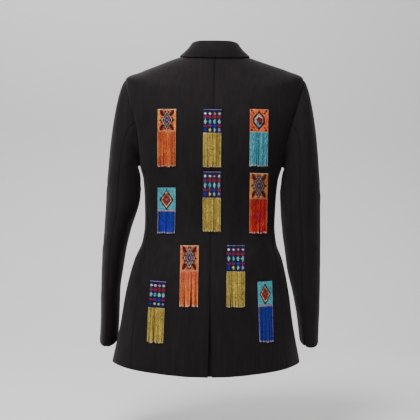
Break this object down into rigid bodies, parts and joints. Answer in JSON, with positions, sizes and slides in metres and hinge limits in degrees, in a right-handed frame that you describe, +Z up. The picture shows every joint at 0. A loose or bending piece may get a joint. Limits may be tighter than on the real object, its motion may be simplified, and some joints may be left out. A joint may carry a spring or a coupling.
{
  "type": "double-breasted blazer",
  "caption": "Tailored double-breasted jacket, filled out as if worn, with peak lapels, open hem, cuffs and neck, and beaded panels with hanging bead fringes on its back",
  "frame": {"origin": "on the centre-back neck seam, at the nape, where the wearer's neck and shoulders carry the jacket", "axes": "+Z up along the wearer's height, -Y the front of the jacket, +X the wearer's left side"},
  "size_m": [0.5028, 0.2514, 0.735],
  "materials": {
    "wool": "fine black wool suiting, matt with a slight sheen",
    "button": "polished black",
    "beads_orange": "opaque orange seed beads",
    "beads_amber": "opaque light orange seed beads",
    "beads_navy": "opaque navy seed beads",
    "beads_turquoise": "opaque turquoise seed beads",
    "strands_orange": "strings of orange seed beads",
    "strands_gold": "strings of lustred gold seed beads",
    "strands_turquoise": "strings of turquoise seed beads",
    "strands_blue": "strings of royal blue seed beads",
    "strands_red": "strings of red seed beads"
  },
  "bodies": {
    "root": {"back_left": "wool", "back_right": "wool", "vent_underlap": "wool", "side_left": "wool", "side_right": "wool", "front_left": "wool", "front_right": "wool", "lapel_left": "wool", "lapel_right": "wool", "collar": "wool", "sleeve_left_top": "wool", "sleeve_left_under": "wool", "sleeve_right_top": "wool", "sleeve_right_under": "wool", "button_1": "button", "button_2": "button", "button_3": "button", "button_4": "button", "bead_panel_01": "beads_orange", "bead_panel_02": "beads_navy", "bead_panel_03": "beads_orange", "bead_panel_04": "beads_turquoise", "bead_panel_05": "beads_navy", "bead_panel_06": "beads_amber", "bead_panel_07": "beads_orange", "bead_panel_08": "beads_navy", "bead_panel_09": "beads_navy", "bead_panel_10": "beads_turquoise", "fringe_01": "strands_orange", "fringe_02": "strands_gold", "fringe_03": "strands_turquoise", "fringe_04": "strands_blue", "fringe_05": "strands_gold", "fringe_06": "strands_red", "fringe_07": "strands_orange", "fringe_08": "strands_gold", "fringe_09": "strands_gold", "fringe_10": "strands_blue"}
  },
  "joints": []
}
